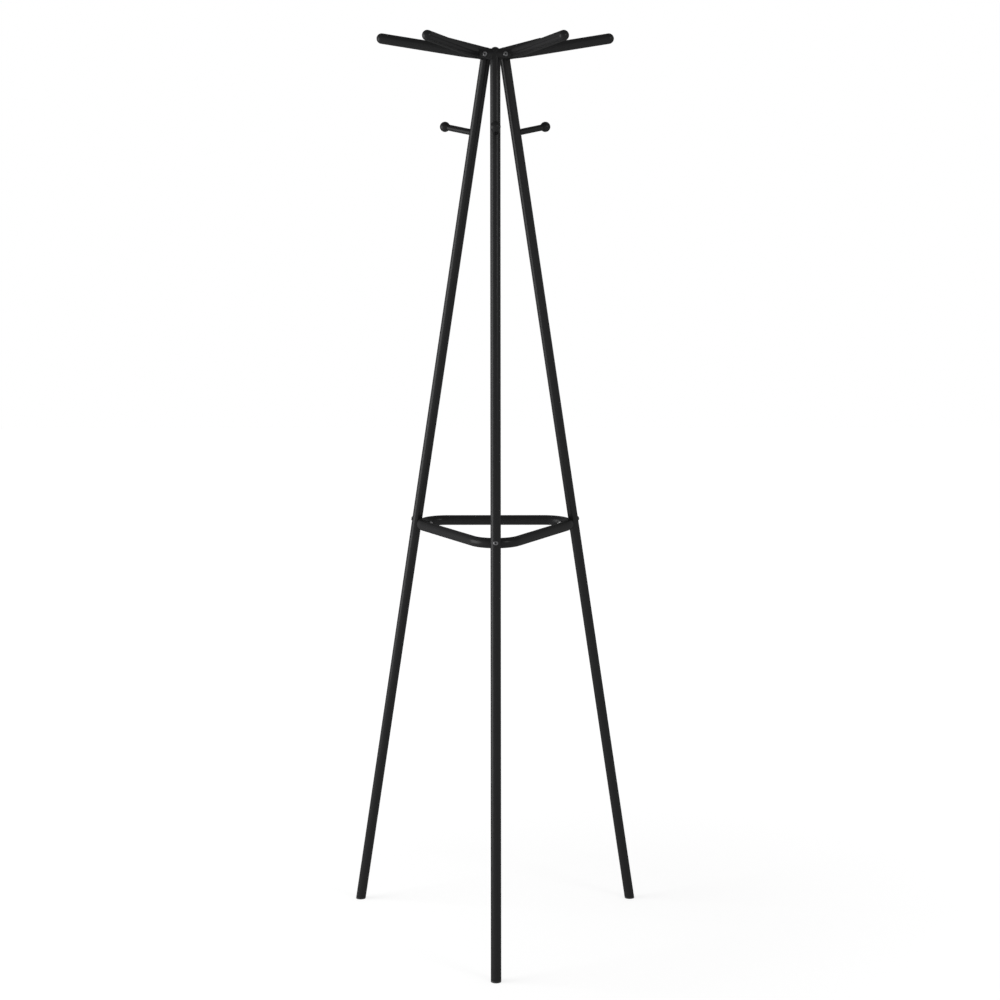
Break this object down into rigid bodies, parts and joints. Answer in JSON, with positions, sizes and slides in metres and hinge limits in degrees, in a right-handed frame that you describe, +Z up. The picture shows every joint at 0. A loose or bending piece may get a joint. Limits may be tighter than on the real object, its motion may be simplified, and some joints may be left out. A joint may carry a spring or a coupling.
{
  "type": "standing coat rack",
  "caption": "Free-standing coat rack of leaning black steel tubes with a crown of rising round-ended arms, knobbed hooks below it and a rounded three-cornered umbrella ring.",
  "frame": {"origin": "on the floor, on the stand's own axis, at equal distance from the three feet", "axes": "+Z up along the stand's axis; -Y towards the front leg; +X to the right of someone who looks along +Y"},
  "size_m": [0.5866, 0.5451, 1.7813],
  "materials": {
    "black_coat": "satin black powder coat",
    "glide_plastic": "matte black polyethylene",
    "blackened_screw": "dark nickel, satin",
    "plated_steel": "zinc plated"
  },
  "bodies": {
    "root": {"leg_front": "black_coat", "leg_right": "black_coat", "leg_left": "black_coat", "leg_cap_front": "black_coat", "leg_cap_right": "black_coat", "leg_cap_left": "black_coat", "foot_glide_front": "glide_plastic", "foot_glide_right": "glide_plastic", "foot_glide_left": "glide_plastic", "crown_link_front_a": "black_coat", "crown_link_front_b": "black_coat", "crown_link_right_a": "black_coat", "crown_link_right_b": "black_coat", "crown_link_left_a": "black_coat", "crown_link_left_b": "black_coat", "crown_joint_front_right": "plated_steel", "crown_joint_back": "plated_steel", "crown_joint_front_left": "plated_steel", "crown_screws": "blackened_screw", "arm_right": "black_coat", "arm_left": "black_coat", "arm_back_left": "black_coat", "arm_front_right": "black_coat", "arm_front_left": "black_coat", "arm_back_right": "black_coat", "arm_cap_right": "black_coat", "arm_cap_left": "black_coat", "arm_cap_back_left": "black_coat", "arm_cap_front_right": "black_coat", "arm_cap_front_left": "black_coat", "arm_cap_back_right": "black_coat", "umbrella_ring": "black_coat", "ring_screws": "blackened_screw", "ring_cap_nuts": "plated_steel", "hook_rod_front": "black_coat", "hook_rod_right": "black_coat", "hook_rod_left": "black_coat", "hook_knob_front": "black_coat", "hook_knob_right": "black_coat", "hook_knob_left": "black_coat", "hook_inserts": "plated_steel"}
  },
  "joints": []
}
